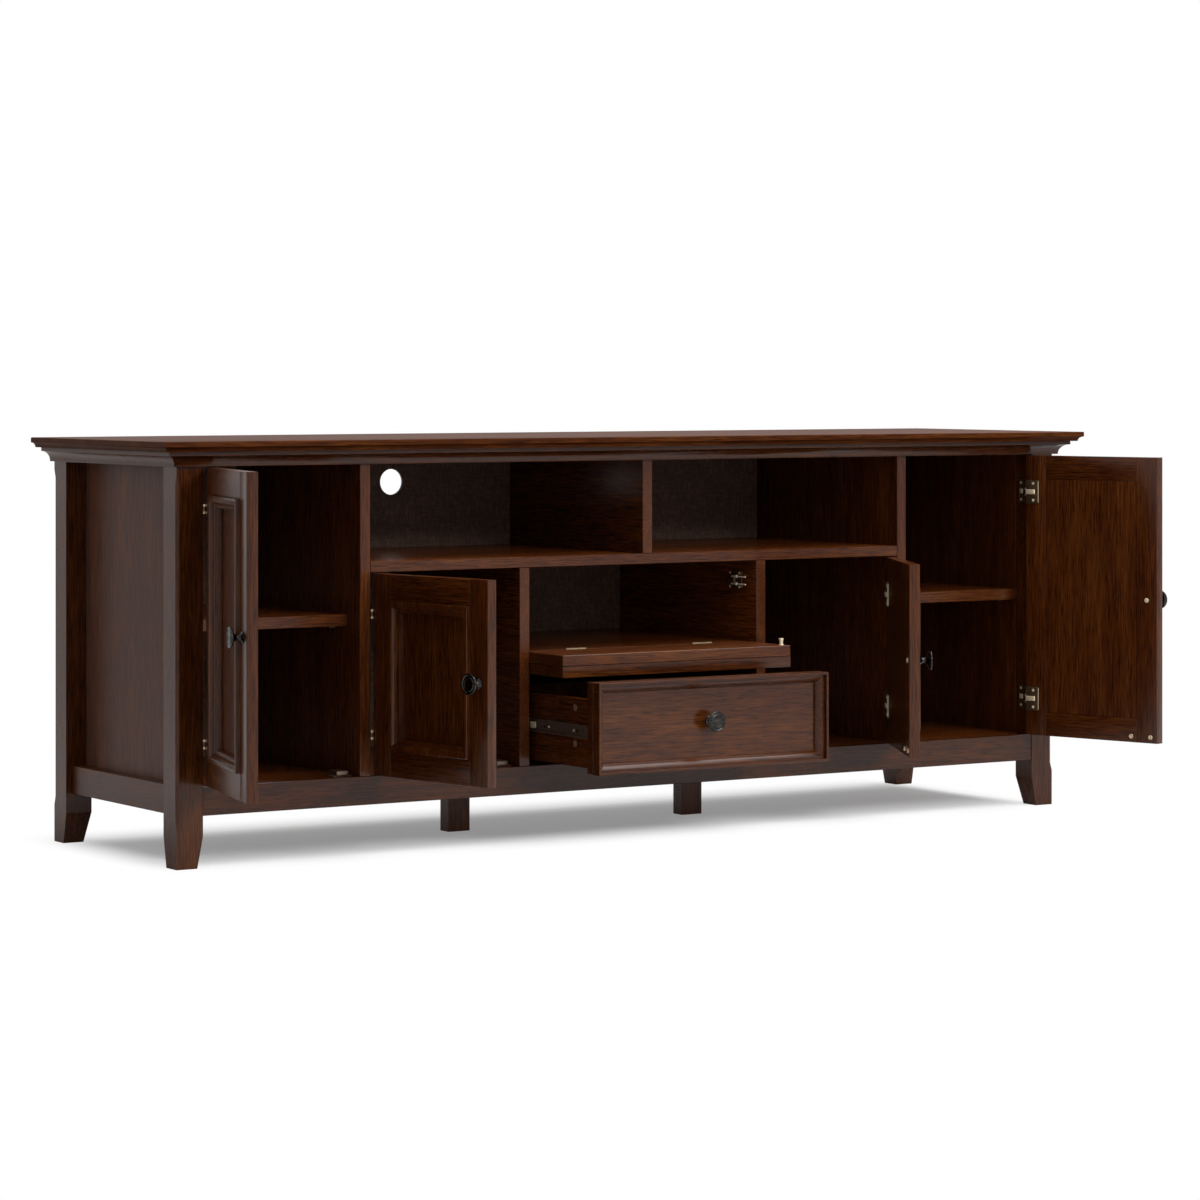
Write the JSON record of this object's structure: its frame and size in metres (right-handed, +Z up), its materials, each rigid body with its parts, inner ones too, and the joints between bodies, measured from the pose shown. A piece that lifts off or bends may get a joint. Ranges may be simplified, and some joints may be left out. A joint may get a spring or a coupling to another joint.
{
  "type": "tv stand",
  "caption": "Low wide dark wood TV stand with a moulded cornice top, post legs, moulded hinged doors, a drop flap, a drawer, open bays and inner shelves.",
  "frame": {"origin": "on the floor under the middle of the case, midway between the front and back post faces", "axes": "+X to the right seen from the front, +Y to the back, +Z up"},
  "size_m": [1.8369, 0.7342, 0.67],
  "materials": {
    "walnut_stain": "satin dark reddish-brown stain",
    "inner_stain": "satin dark stain",
    "dark_fibreboard": "matt dark fibreboard",
    "dark_bronze": "dark oil-rubbed bronze",
    "antique_brass": "antique brass plating",
    "zinc_steel": "zinc plated"
  },
  "bodies": {
    "cabinet": {"top_panel": "walnut_stain", "cornice_front": "walnut_stain", "cornice_left": "walnut_stain", "cornice_right": "walnut_stain", "front_left_post": "walnut_stain", "front_right_post": "walnut_stain", "back_left_post": "walnut_stain", "back_right_post": "walnut_stain", "side_panel_left": "walnut_stain", "side_panel_right": "walnut_stain", "side_bottom_rail_left": "walnut_stain", "side_bottom_rail_right": "walnut_stain", "front_bottom_rail": "walnut_stain", "centre_foot_left": "walnut_stain", "centre_foot_right": "walnut_stain", "bottom_panel": "inner_stain", "tall_divider_left": "inner_stain", "tall_divider_right": "inner_stain", "lower_divider_left": "inner_stain", "lower_divider_right": "inner_stain", "upper_divider": "inner_stain", "middle_shelf": "inner_stain", "flap_shelf": "inner_stain", "adjustable_shelf_left": "inner_stain", "adjustable_shelf_right": "inner_stain", "back_panel": "dark_fibreboard", "left_outer_door_hinge_lower": "antique_brass", "left_outer_door_hinge_upper": "antique_brass", "left_inner_door_hinge_lower": "antique_brass", "left_inner_door_hinge_upper": "antique_brass", "right_inner_door_hinge_lower": "antique_brass", "right_inner_door_hinge_upper": "antique_brass", "right_outer_door_hinge_lower": "antique_brass", "right_outer_door_hinge_upper": "antique_brass", "flap_hinge_left": "antique_brass", "flap_hinge_right": "antique_brass", "flap_roller_catch": "antique_brass", "slide_case_member_left": "zinc_steel", "slide_case_member_right": "zinc_steel"},
    "left_outer_door": {"left_outer_door_frame": "walnut_stain", "left_outer_door_panel": "walnut_stain", "left_outer_door_knob": "dark_bronze"},
    "left_inner_door": {"left_inner_door_frame": "walnut_stain", "left_inner_door_panel": "walnut_stain", "left_inner_door_knob": "dark_bronze"},
    "right_inner_door": {"right_inner_door_frame": "walnut_stain", "right_inner_door_panel": "walnut_stain", "right_inner_door_knob": "dark_bronze"},
    "right_outer_door": {"right_outer_door_frame": "walnut_stain", "right_outer_door_panel": "walnut_stain", "right_outer_door_knob": "dark_bronze"},
    "flap": {"flap_panel": "walnut_stain", "flap_moulding": "walnut_stain"},
    "drawer": {"drawer_front": "walnut_stain", "drawer_front_moulding": "walnut_stain", "drawer_box": "inner_stain", "drawer_bottom": "inner_stain", "drawer_knob": "dark_bronze", "slide_drawer_member_left": "zinc_steel", "slide_drawer_member_right": "zinc_steel"}
  },
  "joints": [
    {"name": "left_outer_door_hinge", "type": "hinge", "parent": "cabinet", "child": "left_outer_door", "pos_m": [-0.82625, -0.2294, 0.3], "axis": [0, 0, -1], "range_deg": [-104.2, 5.8]},
    {"name": "left_inner_door_hinge", "type": "hinge", "parent": "cabinet", "child": "left_inner_door", "pos_m": [-0.52625, -0.2294, 0.3], "axis": [0, 0, -1], "range_deg": [-79.3, 15.7]},
    {"name": "right_inner_door_hinge", "type": "hinge", "parent": "cabinet", "child": "right_inner_door", "pos_m": [0.52625, -0.2294, 0.3], "axis": [0, 0, 1], "range_deg": [-61.5, 33.5]},
    {"name": "right_outer_door_hinge", "type": "hinge", "parent": "cabinet", "child": "right_outer_door", "pos_m": [0.82625, -0.2294, 0.3], "axis": [0, 0, 1], "range_deg": [-106.3, 3.7]},
    {"name": "flap_hinge", "type": "hinge", "parent": "cabinet", "child": "flap", "pos_m": [0, -0.209, 0.316], "axis": [-1, 0, 0], "range_deg": [0, 90]},
    {"name": "drawer_slide", "type": "slide", "parent": "cabinet", "child": "drawer", "axis": [0, -1, 0], "range_m": [-0.1945, 0.047]}
  ]
}
